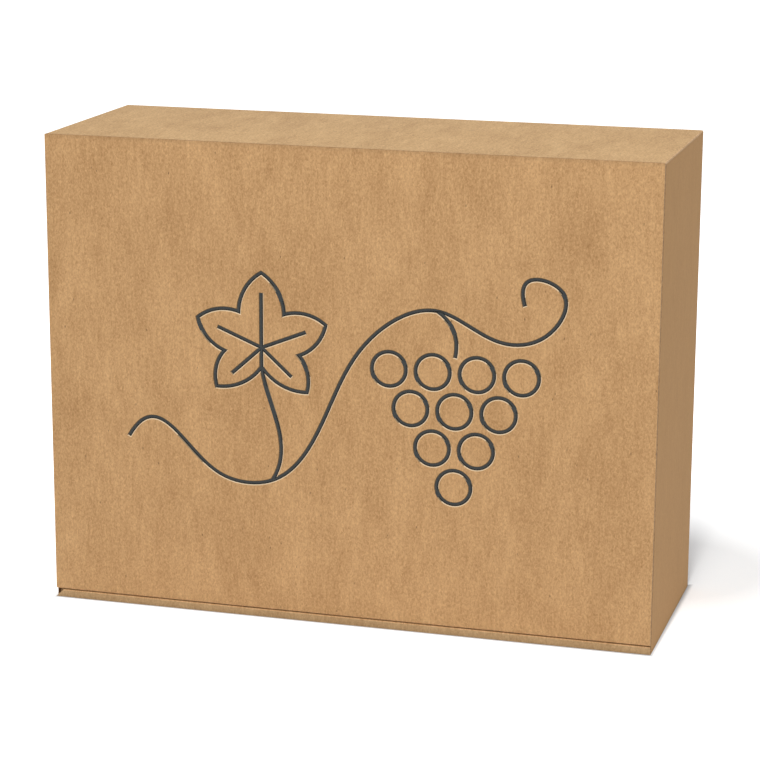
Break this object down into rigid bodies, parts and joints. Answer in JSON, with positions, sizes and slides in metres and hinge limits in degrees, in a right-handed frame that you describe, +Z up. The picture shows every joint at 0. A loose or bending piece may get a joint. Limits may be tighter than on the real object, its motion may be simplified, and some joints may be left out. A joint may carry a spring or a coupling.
{
  "type": "bottle shipping box",
  "caption": "Corrugated shipping box for lying wine bottles, with a hinged front lid, a tuck flap, a rolled bottom wall and slotted inner cradles.",
  "frame": {"origin": "on the ground, in the middle of the box's bottom wall", "axes": "+Z up, +X along the width to the viewer's right, -Y out of the lid towards the viewer"},
  "size_m": [0.38, 0.137, 0.295],
  "materials": {
    "kraft_board": "matt brown kraft liner",
    "insert_board": "matt recycled brown liner",
    "line_ink": "matt dark slate ink"
  },
  "bodies": {
    "carton": {"carton_tray": "kraft_board", "base_end_board": "insert_board", "base_cradle": "insert_board", "shoulder_cradle": "insert_board", "neck_cradle": "insert_board", "neck_end_board": "insert_board", "divider_1": "insert_board", "divider_2": "insert_board"},
    "lid": {"lid": "kraft_board"}
  },
  "joints": [
    {"name": "lid_hinge", "type": "hinge", "parent": "carton", "child": "lid", "pos_m": [0, -0.0681, 0.2946], "axis": [-1, 0, 0], "range_deg": [0, 180]}
  ]
}
